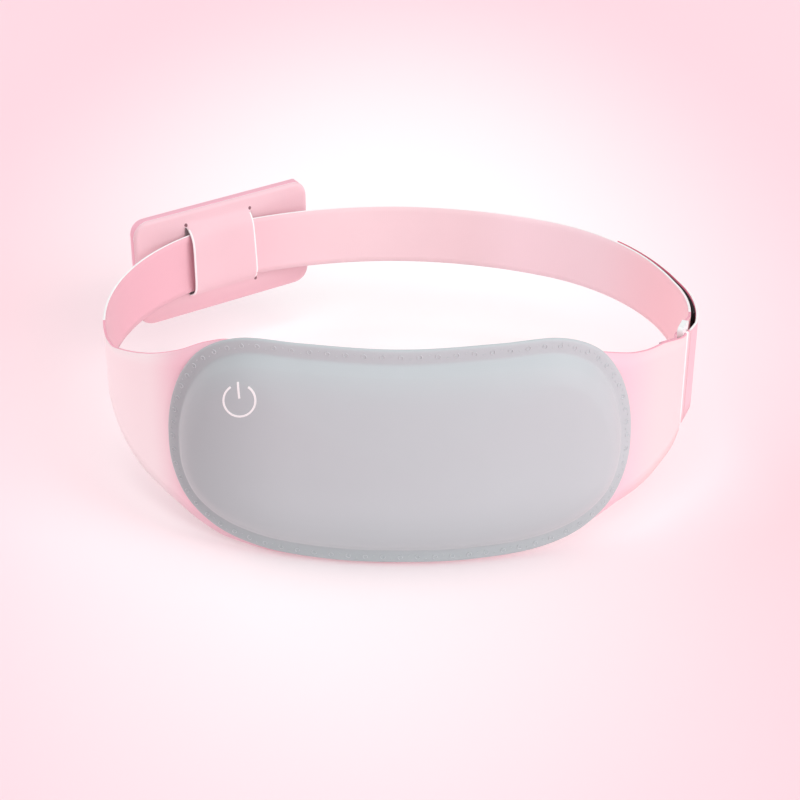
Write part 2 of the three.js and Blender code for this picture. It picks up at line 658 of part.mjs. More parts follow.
function cell(name, z) {
  const pillow = new RoundedBoxGeometry(68, 5.4, 24, 1, 1.5);
  add(name, pillow.translate(PACK_X - 9, PACK_MIDDLE, z), STEEL, 0.4, 0.6, store);
}
cell('battery_cell_upper', CELL_Z);
cell('battery_cell_lower', -CELL_Z);
add('battery_board', box(14, 1, 46, PACK_X + 37, PACK_MIDDLE + 2.2, 0), GREEN, 0.5, 0, store);

const SOCKET_Y = PACK_MIDDLE - 0.5;
add('usb_socket', cut(
  box(8.6, 3.4, 9.8, PORT_X - 5, SOCKET_Y, PORT_Z),
  box(8.6, 2.2, 8.6, PORT_X - 4, SOCKET_Y, PORT_Z),
), STEEL, 0.3, 1, store);
add('usb_plug', join(
  box(6, 1.6, 8, PORT_X - 2.4, SOCKET_Y, PORT_Z),
  new RoundedBoxGeometry(5.4, 4.6, 11, 1, 0.8).translate(PORT_X + 3, SOCKET_Y, PORT_Z),
), BLACK, 0.5, 0, store);

// Lead from the plug down to the pouch's lower corner, where it goes into the strap's lining.
const leadPath = new THREE.CatmullRomCurve3(
  [[3, 6.2], [3, 0], [3.4, -10], [4.6, -20]].map(([x, z]) => new THREE.Vector3(PORT_X + x, SOCKET_Y, z)),
);
const leadSection = new THREE.Shape();
leadSection.absarc(0, 0, 1.1, 0, Math.PI * 2);
add('plug_lead', new THREE.ExtrudeGeometry(leadSection, { steps: 8, extrudePath: leadPath, curveSegments: 3 }),
  BLACK, 0.6, 0, store);

for (const child of group.children) {
  child.position.x += LOOP_X;
  child.position.y += LOOP_Y;
}

export default group;
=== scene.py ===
import math

import bpy
import numpy as np
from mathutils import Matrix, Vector
from mathutils.bvhtree import BVHTree


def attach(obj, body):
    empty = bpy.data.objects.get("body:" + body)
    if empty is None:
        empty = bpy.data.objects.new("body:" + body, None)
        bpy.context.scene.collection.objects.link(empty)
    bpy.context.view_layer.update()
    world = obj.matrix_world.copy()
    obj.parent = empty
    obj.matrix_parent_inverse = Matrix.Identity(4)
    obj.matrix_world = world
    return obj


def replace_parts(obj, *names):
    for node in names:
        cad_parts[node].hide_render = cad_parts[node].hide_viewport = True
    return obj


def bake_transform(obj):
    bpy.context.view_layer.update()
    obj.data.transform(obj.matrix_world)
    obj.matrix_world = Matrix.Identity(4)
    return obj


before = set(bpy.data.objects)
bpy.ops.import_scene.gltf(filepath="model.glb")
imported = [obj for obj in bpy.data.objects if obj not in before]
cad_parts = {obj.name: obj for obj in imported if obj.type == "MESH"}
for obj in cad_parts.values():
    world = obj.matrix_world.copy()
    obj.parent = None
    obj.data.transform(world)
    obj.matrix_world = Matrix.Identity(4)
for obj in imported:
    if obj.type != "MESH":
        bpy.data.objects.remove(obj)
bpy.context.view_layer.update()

# Looks of the heated massage belt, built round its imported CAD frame. Lengths are millimetres, and MM turns
# them into the scene's metres. +Z is up and the pad faces -Y. Along the belt, s is the arc length from the
# middle of the front (positive to the right), t the distance outwards from the strap's middle layer, and z the
# height above the strap's middle.
MM = 0.001

# ---- plan of the loop: three tangent arcs on each side -------------------------------------------------
HALF_WIDTH = 150.0
SIDE_R = 110.4
FRONT_A = math.radians(20)
REAR_A = math.radians(22.1)
SIDE_C = HALF_WIDTH - SIDE_R
FRONT_R = SIDE_R + SIDE_C / math.sin(FRONT_A)
REAR_R = SIDE_R + SIDE_C / math.sin(REAR_A)
FRONT_Y = SIDE_C / math.tan(FRONT_A)
REAR_Y = -SIDE_C / math.tan(REAR_A)
FRONT_L = FRONT_R * FRONT_A
SIDE_END = FRONT_L + SIDE_R * (math.pi - REAR_A - FRONT_A)
HALF_LOOP = SIDE_END + REAR_R * REAR_A
LOOP = 2 * HALF_LOOP
LEVEL = 58.5                      # height of the strap's middle above the floor
LOOP_X, LOOP_Y = -1.748, -1.224   # middle of the loop, from the middle of the whole belt's box


def turn_at(s):
    """Heading of the loop at s, in radians from the heading at the middle of the front."""
    s = (s + HALF_LOOP) % LOOP - HALF_LOOP
    a = abs(s)
    if a <= FRONT_L:
        turn = a / FRONT_R
    elif a <= SIDE_END:
        turn = FRONT_A + (a - FRONT_L) / SIDE_R
    else:
        turn = math.pi - REAR_A + (a - SIDE_END) / REAR_R
    return math.copysign(turn, s)


def plan(s, t=0.0):
    """Plan position (x, y) of a point of the belt."""
    turn = turn_at(s)
    size = abs(turn)
    out = (math.sin(turn), -math.cos(turn))
    if size <= FRONT_A:
        centre, radius = (0.0, FRONT_Y), FRONT_R
    elif size >= math.pi - REAR_A:
        centre, radius = (0.0, REAR_Y), REAR_R
    else:
        centre, radius = (math.copysign(SIDE_C, turn), 0.0), SIDE_R
    return LOOP_X + centre[0] + out[0] * (radius + t), LOOP_Y + centre[1] + out[1] * (radius + t)


def place(s, t, z):
    """Scene position, in metres, of a point of the belt."""
    x, y = plan(s, t)
    return (x * MM, y * MM, (z + LEVEL) * MM)


def smooth_table(pairs, width=1.8):
    """Edge height along the band: straight lines between the pairs, softened over a few millimetres."""
    xs, ys = zip(*pairs)
    grid = np.arange(-HALF_LOOP, HALF_LOOP, 1.0)
    values = np.interp(grid, xs, ys)
    kernel = np.exp(-0.5 * (np.arange(-15, 16) / width) ** 2)
    values = np.convolve(np.pad(values, 15, mode="edge"), kernel / kernel.sum(), "valid")
    return lambda s: float(np.interp((s + HALF_LOOP) % LOOP - HALF_LOOP, grid, values))


# ---- mesh helpers --------------------------------------------------------------------------------------
def new_object(name, verts, faces, materials, slots=None, uvs=None, smooth=True):
    mesh = bpy.data.meshes.new(name)
    mesh.from_pydata([tuple(v) for v in verts], [], faces)
    obj = bpy.data.objects.new(name, mesh)
    bpy.context.scene.collection.objects.link(obj)
    for m in materials:
        mesh.materials.append(m)
    if slots is not None:
        mesh.polygons.foreach_set("material_index", slots)
    mesh.polygons.foreach_set("use_smooth", [smooth] * len(mesh.polygons))
    if uvs is not None:
        layer = mesh.uv_layers.new(name="UVMap")
        loops = np.array([uvs[l.vertex_index] for l in mesh.loops], np.float32)
        layer.data.foreach_set("uv", loops.ravel())
    mesh.validate()
    mesh.update()
    return obj


def subdivide(obj, levels=1):
    m = obj.modifiers.new("subdivision", "SUBSURF")
    m.levels = m.render_levels = levels
    return obj


def apply_modifiers(obj):
    dg = bpy.context.evaluated_depsgraph_get()
    mesh = bpy.data.meshes.new_from_object(obj.evaluated_get(dg))
    obj.modifiers.clear()
    obj.data = mesh
    return obj


def finish_piece(obj, body, slot, *nodes):
    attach(obj, body)
    if nodes:
        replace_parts(obj, *nodes)
    return obj


# ---- materials -----------------------------------------------------------------------------------------
class Nodes:
    """A new material's node tree, with short ways to add, link and combine nodes."""

    def __init__(self, name):
        self.m = bpy.data.materials.new(name)
        self.m.use_nodes = True
        self.t = self.m.node_tree
        self.bsdf = self.t.nodes["Principled BSDF"]

    def add(self, kind, **values):
        node = self.t.nodes.new(kind)
        for key, value in values.items():
            if key in node.inputs:
                node.inputs[key].default_value = value
            else:
                setattr(node, key, value)
        return node

    def link(self, a, b):
        self.t.links.new(a, b)

    def math(self, op, a, b=None, c=None):
        node = self.add("ShaderNodeMath", operation=op)
        for i, v in enumerate((a, b, c)):
            if v is None:
                continue
            if isinstance(v, (int, float)):
                node.inputs[i].default_value = v
            else:
                self.link(v, node.inputs[i])
        return node.outputs[0]

    def mix(self, factor, a, b):
        node = self.add("ShaderNodeMix", data_type="RGBA")
        for socket, v in ((node.inputs["Factor"], factor), (node.inputs[6], a), (node.inputs[7], b)):
            if isinstance(v, (int, float)):
                socket.default_value = v
            elif isinstance(v, tuple):
                socket.default_value = (*v, 1.0)
            else:
                self.link(v, socket)
        return node.outputs[2]


def scaled(colour, k):
    """The colour made darker or lighter by the factor k."""
    return tuple(min(1.0, c * k) for c in colour)


def coordinates(n, use_uv):
    """Texture position in metres: along the cloth's own surface, or in the scene."""
    source = n.add("ShaderNodeTexCoord")
    return source.outputs["UV" if use_uv else "Object"]


WAVES_1_MM = 157.0   # scale of a wave texture whose bands are 1 mm apart


def fabric(name, colour, weave=0.55, weave_depth=0.05, roughness=0.62, sheen=0.25, mottle=0.035, uv=True,
           fuzz=0.0, punched=None, fades=()):
    """Woven cloth: two crossed waves for the threads, a soft mottle in colour, and a sheen.

    Each fade (axis, start, end, colour) is painted light and shade: it turns the cloth into another colour
    between two places along an axis.
    Punched is (half span, half height, dot radius) for two slits that end in dots and show their cut edge."""
    n = Nodes(name)
    where = coordinates(n, uv)
    broad = n.add("ShaderNodeTexNoise", Scale=28.0, Detail=4.0)
    n.link(where, broad.inputs["Vector"])
    tint = n.mix(broad.outputs["Fac"], scaled(colour, 1 - mottle), scaled(colour, 1 + mottle))
    for axis, start, end, other in fades:
        split = n.add("ShaderNodeSeparateXYZ")
        n.link(coordinates(n, False), split.inputs[0])
        reach = n.add("ShaderNodeMapRange", interpolation_type="SMOOTHSTEP")
        reach.inputs["From Min"].default_value = start
        reach.inputs["From Max"].default_value = end
        n.link(split.outputs[axis], reach.inputs["Value"])
        tint = n.mix(reach.outputs["Result"], tint, other)
    threads = []
    for direction in ("X", "Y"):
        wave = n.add("ShaderNodeTexWave", bands_direction=direction, Scale=WAVES_1_MM / weave, Distortion=0.4,
                     Detail=1.0)
        n.link(where, wave.inputs["Vector"])
        threads.append(wave.outputs["Fac"])
    cloth = n.math("MULTIPLY", threads[0], threads[1])
    grain = n.add("ShaderNodeTexNoise", Scale=2400.0, Detail=2.0)
    n.link(where, grain.inputs["Vector"])
    height = n.math("ADD", n.math("MULTIPLY", cloth, 0.7),
                    n.math("MULTIPLY", grain.outputs["Fac"], 0.3 + fuzz))
    bump = n.add("ShaderNodeBump", Strength=0.35, Distance=weave_depth * MM)
    n.link(height, bump.inputs["Height"])
    n.link(bump.outputs["Normal"], n.bsdf.inputs["Normal"])
    tint = n.mix(n.math("MULTIPLY", cloth, 0.10), tint, scaled(colour, 0.86))
    if punched:
        half_span, half_height, radius = punched
        split = n.add("ShaderNodeSeparateXYZ")
        n.link(where, split.inputs[0])
        x, z = split.outputs["X"], split.outputs["Y"]
        from_cut = n.math("ABSOLUTE", n.math("SUBTRACT", n.math("ABSOLUTE", x), half_span - CUT_EDGE / 2))
        on_cut = n.math("MULTIPLY", n.math("LESS_THAN", from_cut, CUT_EDGE / 2),
                        n.math("LESS_THAN", n.math("ABSOLUTE", z), half_height - 0.002))
        tint = n.mix(on_cut, tint, CORE_AND_HIGHLIGHT_COLOUR)
        for at_x, at_z in ((-half_span, half_height), (-half_span, -half_height), (half_span, half_height)):
            dx, dz = n.math("SUBTRACT", x, at_x), n.math("SUBTRACT", z, at_z)
            away = n.math("SQRT", n.math("ADD", n.math("MULTIPLY", dx, dx), n.math("MULTIPLY", dz, dz)))
            tint = n.mix(n.math("LESS_THAN", away, radius), tint, DOT_COLOUR)
    n.link(tint, n.bsdf.inputs["Base Color"])
    rough = n.math("ADD", n.math("MULTIPLY", broad.outputs["Fac"], 0.12), roughness - 0.06)
    n.link(rough, n.bsdf.inputs["Roughness"])
    n.bsdf.inputs["Sheen Weight"].default_value = sheen
    n.bsdf.inputs["Sheen Roughness"].default_value = 0.45
    n.bsdf.inputs["Specular IOR Level"].default_value = 0.28
    return n.m


def solid(name, colour, roughness=0.4, metallic=0.0, grain=700.0, depth=0.01, edge_highlight=0.08, coat=0.0,
          stretch=None):
    """Moulded or machined surface: fine grain, uneven gloss, and edges made lighter as a painted highlight."""
    n = Nodes(name)
    where = coordinates(n, False)
    if stretch:
        mapping = n.add("ShaderNodeMapping")
        mapping.inputs["Scale"].default_value = stretch
        n.link(where, mapping.inputs["Vector"])
        where = mapping.outputs["Vector"]
    noise = n.add("ShaderNodeTexNoise", Scale=grain, Detail=5.0)
    n.link(where, noise.inputs["Vector"])
    blotch = n.add("ShaderNodeTexNoise", Scale=90.0, Detail=3.0)
    n.link(where, blotch.inputs["Vector"])
    geometry = n.add("ShaderNodeNewGeometry")
    edge = n.add("ShaderNodeMapRange")
    edge.inputs["From Min"].default_value = 0.52
    edge.inputs["From Max"].default_value = 0.66
    n.link(geometry.outputs["Pointiness"], edge.inputs["Value"])
    base = n.mix(blotch.outputs["Fac"], scaled(colour, 0.95), scaled(colour, 1.04))
    # Painted highlight: edges picked out by their pointiness are made lighter.
    highlight_mask = n.math("MULTIPLY", edge.outputs["Result"], edge_highlight * 4)
    highlighted = n.mix(highlight_mask, base, scaled(colour, 1 + 3 * edge_highlight))
    n.link(highlighted, n.bsdf.inputs["Base Color"])
    bump = n.add("ShaderNodeBump", Strength=0.3, Distance=depth * MM)
    n.link(noise.outputs["Fac"], bump.inputs["Height"])
    n.link(bump.outputs["Normal"], n.bsdf.inputs["Normal"])
    rough = n.math("ADD", n.math("MULTIPLY", blotch.outputs["Fac"], 0.14), roughness - 0.07)
    n.link(rough, n.bsdf.inputs["Roughness"])
    n.bsdf.inputs["Metallic"].default_value = metallic
    n.bsdf.inputs["Coat Weight"].default_value = coat
    return n.m


# The fades of the cloth colours follow the light of the photograph round the loop (axes in metres).
CORE_AND_HIGHLIGHT_COLOUR, DOT_COLOUR = (0.98, 0.95, 0.95), (0.25, 0.12, 0.14)
CUT_EDGE = 0.0010
# Painted light: the outer face of the band turns lighter towards both sides of the loop.
BAND = fabric("band_fabric", (0.95, 0.60, 0.68), fades=(
    ("X", -0.098, -0.122, (1.0, 0.87, 0.885)), ("X", 0.106, 0.132, (0.97, 0.70, 0.715))))
TAIL = fabric("tail_fabric", (0.90, 0.54, 0.61))
# Painted shade: the tail's inner face is deep red, standing for the pink cloth in the shade of the narrow gap
# against the strap.
TAIL_INSIDE = fabric("tail_inside", (0.78, 0.16, 0.26))
# Painted shade and light on the band's inner face: deeper pink towards the left and the far right, lighter
# just right of the middle.
BAND_INSIDE = fabric("band_inside", (0.93, 0.695, 0.73), fades=(
    ("X", -0.02, -0.15, (0.86, 0.47, 0.545)), ("X", 0.03, 0.07, (1.0, 0.77, 0.82)),
    ("X", 0.10, 0.152, (0.98, 0.56, 0.61))))
# White core of the cloth, shown on cut edges; also used as a painted highlight on the fold round the rear bar.
BAND_CORE_AND_HIGHLIGHT = fabric("band_core_and_highlight", CORE_AND_HIGHLIGHT_COLOUR, weave=0.3, sheen=0.1)
WING_EDGE = fabric("wing_edge", (0.90, 0.42, 0.52), weave=0.3, sheen=0.1)
POUCH = fabric("pouch_fabric", (0.88, 0.44, 0.54))
# Painted shade: the pouch panel turns darker towards its bottom.
PANEL = fabric("pouch_panel_fabric", (0.86, 0.585, 0.635), punched=(0.0200, 0.0226, 0.0009),
               fades=(("Z", 0.047, 0.025, (0.81, 0.48, 0.54)),))
# Painted shade: the cover turns darker towards its bottom and towards its left end.
COVER = fabric("cover_fabric", (0.525, 0.572, 0.592), weave=0.45, weave_depth=0.03, roughness=0.5, sheen=0.35,
               mottle=0.02, fades=(("Z", 0.045, 0.010, (0.455, 0.50, 0.515)),
                                   ("X", -0.045, -0.105, (0.41, 0.455, 0.47))))
THREAD = fabric("stitch_thread", (0.58, 0.615, 0.635), weave=0.2, uv=False, sheen=0.4)
PLUSH = fabric("liner_plush", (0.93, 0.72, 0.76), weave=1.1, weave_depth=0.4, roughness=0.9, sheen=0.8,
               fuzz=0.5)
# The hook tape is black, and its black also stands for the shade in the gap between the strap and its
# folded-back tail (painted shade).
HOOK_AND_GAP_SHADE = fabric("hook_tape_and_gap_shade", (0.016, 0.014, 0.016), weave=1.2, weave_depth=0.5, roughness=0.8,
              sheen=0.05)
WHITE = solid("white_plastic", (0.86, 0.86, 0.87), 0.45)
RING = solid("ring_plastic", (0.90, 0.91, 0.91), 0.28, coat=0.3)
CASE = solid("case_plastic", (0.88, 0.88, 0.89), 0.25, coat=0.3)
BLACK = solid("black_plastic", (0.02, 0.02, 0.024), 0.45)
CABLE = solid("cable_rubber", (0.025, 0.025, 0.03), 0.55)
GREEN = solid("board_mask", (0.03, 0.17, 0.08), 0.35, grain=400.0)
STEEL = solid("steel", (0.62, 0.63, 0.65), 0.28, 1.0, stretch=(1, 1, 12))
BRASS = solid("brass", (0.78, 0.58, 0.22), 0.3, 1.0, stretch=(1, 1, 9))
FOIL = solid("cell_foil", (0.70, 0.71, 0.73), 0.35, 0.8, grain=160.0, depth=0.08)
RUBBER = solid("key_rubber", (0.80, 0.80, 0.81), 0.6)
FOAM = fabric("foam", (0.90, 0.83, 0.70), weave=1.6, weave_depth=0.5, roughness=0.95, uv=False, fuzz=0.6)
FILM = solid("heating_film", (0.05, 0.03, 0.025), 0.5, stretch=(1, 1, 30))
RED = solid("wire_red", (0.55, 0.03, 0.03), 0.45)
BLUE = solid("wire_blue", (0.03, 0.10, 0.45), 0.45)
CREAM = solid("wire_cream", (0.80, 0.77, 0.70), 0.5)
MARK = solid("mark_print", (0.95, 0.95, 0.95), 0.5, grain=1500.0)

CAD_FINISH = {
    "adjuster_ring": RING, "control_tray": WHITE, "control_board": GREEN, "board_chip": BLACK,
    "board_connector": WHITE, "switch_body": BLACK, "switch_dome": STEEL, "power_key": RUBBER,
    "heating_film": FILM, "foam_pad": FOAM, "motor_lead_left": RED, "motor_lead_right": BLUE,
    "supply_lead": CABLE, "thermal_cutout": CREAM, "cutout_lead": CREAM, "battery_case_inner": CASE,
    "battery_case_outer": CASE, "battery_cell_upper": FOIL, "battery_cell_lower": FOIL,
    "battery_board": GREEN, "usb_socket": STEEL, "usb_plug": BLACK, "plug_lead": CABLE,
}
for side in ("left", "right"):
    CAD_FINISH.update({f"motor_housing_{side}": WHITE, f"motor_can_{side}": STEEL,
                       f"motor_endcap_{side}": WHITE, f"eccentric_weight_{side}": BRASS})
for node_name, finish in CAD_FINISH.items():
    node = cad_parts[node_name]
    node.data.materials.clear()
    node.data.materials.append(finish)

ring_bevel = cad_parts["adjuster_ring"].modifiers.new("rounded_edges", "BEVEL")
ring_bevel.width = 0.7 * MM
ring_bevel.segments = 3
ring_bevel.angle_limit = math.radians(40)

# ---- band, swept along its path ------------------------------------------------------------------------
# Upper and lower edge of the band as (s, z): the wings widen from the 35 mm strap to the height of the pad,
# and the strap narrows again from the ring's window.
BAND_TOP = smooth_table([
    (-200, 17.5), (-182, 17.6), (-165, 20.5), (-152, 25.5), (-137, 31), (-124, 36), (-113, 41), (-103, 46),
    (-91, 53.4), (-80, 58), (-60, 60.6), (0, 61), (70, 60.4), (86, 55.6), (101, 48.5), (110, 45), (123, 40),
    (135, 36.8), (148, 34.6), (160, 31), (168, 28.4), (174, 28), (175, 27), (188, 25.4), (214, 22), (246, 18),
    (262, 17.5)])
BAND_BOTTOM = smooth_table([
    (-200, -17.5), (-180, -20.5), (-160, -28.6), (-141, -35.5), (-127, -39.5), (-112, -44), (-100, -49.2),
    (-85, -54.6), (-60, -57.8), (0, -58.5), (60, -57.8), (82, -55), (98, -50), (108, -46), (118, -43.4),
    (134, -42), (148, -39.6), (158, -36), (165, -32.6), (169, -28.8), (174, -28), (175, -27), (188, -25.4),
    (214, -22), (246, -18), (262, -17.5)])
FRONT_BAR, REAR_BAR = 170.5, 178.5   # s of the two bars of the ring
FOLD_T = 2.4                         # from the bars' middle to the middle of the cloth folded round them
FOLD_REACH = 2.55


def ramp(s, s0, s1):
    """Smooth step from 0 at s0 to 1 at s1."""
    x = min(1.0, max(0.0, (s - s0) / (s1 - s0)))
    return x * x * (3 - 2 * x)


def stretch_of(s0, s1, t, step=3.0):
    """Path points (s, t) from s0 to s1, with t as a function of s."""
    count = max(1, math.ceil(abs(s1 - s0) / step))
    stations = [s0 + (s1 - s0) * i / count for i in range(count + 1)]
    return [(s, t(s)) for s in stations]


def half_turn(s, t, reach, steps=14):
    """Path points of a fold round a bar at s, from t to -t; the sign of reach says to which side it turns."""
    points = []
    for i in range(1, steps):
        a = math.pi * i / steps
        along = math.sin(a) ** 0.6
        across = math.copysign(abs(math.cos(a)) ** 0.6, math.cos(a))
        points.append((s + reach * along, t * across))
    return points


INNER, OUTER, CORE_AND_HIGHLIGHT, WING = range(4)   # material slots of a swept sheet
CUT_ROUND = 0.18                      # rounding of its cut edges


def sweep(name, path, half_thickness, top, bottom, skins, rows=8, on_wing=None, wobble=0.0):
    """A sheet standing on edge along a path of (s, t), with the core showing on its cut edges.

    Wobble gives it the slow waves of cloth. Where on_wing(s) holds, the cut edge takes the WING material."""
    centre = np.array([plan(s, t) for s, t in path])
    away = np.gradient(centre, axis=0)
    away /= np.linalg.norm(away, axis=1)[:, None]
    normal = np.stack([away[:, 1], -away[:, 0]], 1)
    length = np.concatenate([[0], np.cumsum(np.linalg.norm(np.diff(centre, axis=0), axis=1))])
    ring_size = 2 * (rows + 1) + 2
    verts, uvs = [], []
    for i, (s, _) in enumerate(path):
        hi = top(s) + 0.5 * wobble * math.sin(length[i] / 23.0)
        lo = bottom(s) + 0.5 * wobble * math.sin(length[i] / 31.0 + 1.0)
        zs = np.linspace(lo + CUT_ROUND, hi - CUT_ROUND, rows + 1)
        section = ([(half_thickness, z, z) for z in zs] + [(0.0, hi, zs[-1])]
                   + [(-half_thickness, z, z) for z in zs[::-1]] + [(0.0, lo, zs[0])])
        for offset, z, bow_z in section:
            bow = 0.4 * wobble * math.sin(length[i] / 37.0 + bow_z / 40.0)
            x, y = centre[i] + normal[i] * (offset + bow)
            verts.append((x * MM, y * MM, (z + LEVEL) * MM))
            uvs.append((length[i] * MM, z * MM))
    faces, slots = [], []
    cut_edges = (rows, rows + 1, ring_size - 2, ring_size - 1)
    for i in range(len(path) - 1):
        cut_slot = WING if on_wing and on_wing(path[i][0]) else CORE_AND_HIGHLIGHT
        here, there = i * ring_size, (i + 1) * ring_size
        for j in range(ring_size):
            k = (j + 1) % ring_size
            faces.append((here + j, here + k, there + k, there + j))
            if j in cut_edges:
                slots.append(cut_slot)
            else:
                slots.append(INNER if j < rows else OUTER)
    for end in (0, len(path) - 1):
        base = end * ring_size
        outer = [base + j for j in range(rows + 1)]
        inner = [base + rows + 2 + j for j in range(rows + 1)][::-1]
        quads = [(outer[j], outer[j + 1], inner[j + 1], inner[j]) for j in range(rows)]
        quads.append((outer[rows], base + rows + 1, inner[rows]))
        quads.append((base + ring_size - 1, outer[0], inner[0]))
        if end == 0:
            quads = [q[::-1] for q in quads]
        faces += [q[::-1] for q in quads]
        slots += [CORE_AND_HIGHLIGHT] * len(quads)
    return new_object(name, verts, faces, skins, slots, uvs)


HEM_START, HEM_GAP = 147.0, 1.3


def wing_t(s):
    """The wing leaves the loop's middle layer to pass outside the ring's front bar."""
    return FOLD_T * ramp(s - LOOP, HEM_START, FRONT_BAR)


def hem_t(s):
    """The hem, turned back inside the wing, comes from the inner side of the front bar."""
    return wing_t(s) - HEM_GAP - (2 * FOLD_T - HEM_GAP) * ramp(s - LOOP, 160, FRONT_BAR)


# Hem, fold round the front bar, wing, pad and strap all the way round, fold round the rear bar.
band_path = (
    stretch_of(LOOP + HEM_START, LOOP + FRONT_BAR, hem_t)
    + half_turn(LOOP + FRONT_BAR, -FOLD_T, FOLD_REACH)
    + stretch_of(LOOP + FRONT_BAR, LOOP + 146, wing_t)
    + stretch_of(LOOP + 143, 200, lambda s: 0.0)
    + stretch_of(198, REAR_BAR, lambda s: -FOLD_T * (1 - ramp(s, 184, 200)))
    + half_turn(REAR_BAR, -FOLD_T, -FOLD_REACH)
    + [(REAR_BAR, FOLD_T)]
)
band = sweep("belt_band_cloth", band_path, 0.62, BAND_TOP, BAND_BOTTOM,
             [BAND_INSIDE, BAND, BAND_CORE_AND_HIGHLIGHT, WING_EDGE], rows=10,
             on_wing=lambda s: not 205 < s < LOOP - 196, wobble=0.25)
for face in band.data.polygons:   # painted highlight: the lit edge of the fold round the rear bar takes the white core colour
    x, y = face.center.x / MM - LOOP_X - SIDE_C, face.center.y / MM - LOOP_Y
    from_fold = FRONT_L + (math.atan2(x, -y) - FRONT_A) * SIDE_R - (REAR_BAR - FOLD_REACH)
    if -1 < from_fold < 0.5 and math.hypot(x, y) > SIDE_R:
        face.material_index = CORE_AND_HIGHLIGHT
finish_piece(band, "belt", "band_fabric", "belt_band")

# Tail of the strap, folded back outside, with hook tape inside it.
TAIL_END = 300.0


def tail_t(s):
    return float(np.interp(s, [REAR_BAR, 190, 275, TAIL_END], [FOLD_T, 4.0, 2.6, 2.6]))


tail_path = [(REAR_BAR, FOLD_T)] + stretch_of(181.0, TAIL_END, tail_t)
tail = sweep("strap_tail_cloth", tail_path, 0.6, BAND_TOP, BAND_BOTTOM, [TAIL, TAIL_INSIDE, BAND_CORE_AND_HIGHLIGHT],
             wobble=0.2)
hook = sweep("hook_tape_cloth", stretch_of(204.0, TAIL_END - 8, lambda s: tail_t(s) - 1.3), 0.4,
             lambda s: BAND_TOP(s) - 1.0, lambda s: BAND_BOTTOM(s) + 1.0, [HOOK_AND_GAP_SHADE, HOOK_AND_GAP_SHADE, HOOK_AND_GAP_SHADE], rows=6)
finish_piece(hook, "tail", "hook_tape", "hook_tape")
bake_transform(tail)
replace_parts(tail, "strap_tail")

# ---- padded cover and lining ---------------------------------------------------------------------------
PAD_S, PAD_Z = 5.0, 2.8   # middle of the pad
# Outline of the right half of the pad, from its top middle to its bottom middle; the left half mirrors it.
PAD_POINTS = [
    (0, 59.4), (45, 60), (76, 58.2), (95, 48), (108, 31), (115.5, 12), (118.3, -6), (117, -24), (109, -40),
    (93, -51.5), (70, -58), (35, -60)]
PAD_POINTS = PAD_POINTS + [(0, -60)] + [(-x, z) for x, z in PAD_POINTS[:0:-1]]
CENTRE = 60.0      # inset of the pad's middle
EDGE_ZONE = 20.0   # width of the border in which the inset is measured square to the outline
RINGS = 40


def closed_spline(points, count):
    """Closed centripetal Catmull-Rom curve, resampled at equal spacing."""
    p = np.array(points, float)
    n = len(p)
    out = []
    for i in range(n):
        a, b, c, d = (p[(i + k - 1) % n] for k in range(4))
        t0 = 0.0
        t1 = np.linalg.norm(b - a) ** 0.5
        t2 = t1 + np.linalg.norm(c - b) ** 0.5
        t3 = t2 + np.linalg.norm(d - c) ** 0.5
        for t in np.linspace(t1, t2, 40, endpoint=False):
            a1 = (t1 - t) / (t1 - t0) * a + (t - t0) / (t1 - t0) * b
            a2 = (t2 - t) / (t2 - t1) * b + (t - t1) / (t2 - t1) * c
            a3 = (t3 - t) / (t3 - t2) * c + (t - t2) / (t3 - t2) * d
            b1 = (t2 - t) / (t2 - t0) * a1 + (t - t0) / (t2 - t0) * a2
            b2 = (t3 - t) / (t3 - t1) * a2 + (t - t1) / (t3 - t1) * a3
            out.append((t2 - t) / (t2 - t1) * b1 + (t - t1) / (t2 - t1) * b2)
    out = np.array(out + [out[0]])
    length = np.concatenate([[0], np.cumsum(np.linalg.norm(np.diff(out, axis=0), axis=1))])
    at = np.linspace(0, length[-1], count, endpoint=False)
    return np.stack([np.interp(at, length, out[:, k]) for k in (0, 1)], 1), length[-1]


EDGE_COUNT = 8 * RINGS
edge_points, EDGE_LENGTH = closed_spline(PAD_POINTS, EDGE_COUNT)
tangent = np.roll(edge_points, -1, 0) - np.roll(edge_points, 1, 0)
tangent /= np.linalg.norm(tangent, axis=1)[:, None]
for _ in range(4):
    tangent = (np.roll(tangent, 1, 0) + 2 * tangent + np.roll(tangent, -1, 0)) / 4
edge_inward = np.stack([tangent[:, 1], -tangent[:, 0]], 1)
edge_inward /= np.linalg.norm(edge_inward, axis=1)[:, None]


def pad_point(u, inset):
    """(s, z) at share u of the way round the outline, inset millimetres in from it."""
    x = (u % 1.0) * EDGE_COUNT
    i = int(x) % EDGE_COUNT
    f = x - int(x)
    j = (i + 1) % EDGE_COUNT
    edge = edge_points[i] * (1 - f) + edge_points[j] * f
    inward = edge_inward[i] * (1 - f) + edge_inward[j] * f
    zone = min(inset, EDGE_ZONE)
    inner = (edge + inward * zone) * (1 - (inset - zone) / (CENTRE - EDGE_ZONE))
    return inner[0] + PAD_S, inner[1] + PAD_Z


# Profile of the cover as (inset, t): the flat stitched flange, then the padded face.
FLANGE = 7.4
COVER_EDGE = [(0, 1.5), (0.2, 2.0), (0.7, 2.4), (1.5, 2.6), (FLANGE - 0.6, 2.6), (FLANGE, 2.65),
              (FLANGE + 0.7, 3.1)]
COVER_FACE = [COVER_EDGE[-1], (9.2, 4.2), (10.5, 5.5), (12.4, 7.1), (14.5, 8.4), (17, 9.6), (20, 10.7),
              (24, 11.7), (29, 12.6), (36, 13.5), (44, 14.3), (52, 14.9), (CENTRE, 15.2)]


def cover_t(inset):
    xs, ys = zip(*(COVER_EDGE if inset <= FLANGE + 0.7 else COVER_FACE))
    return float(np.interp(inset, xs, ys))


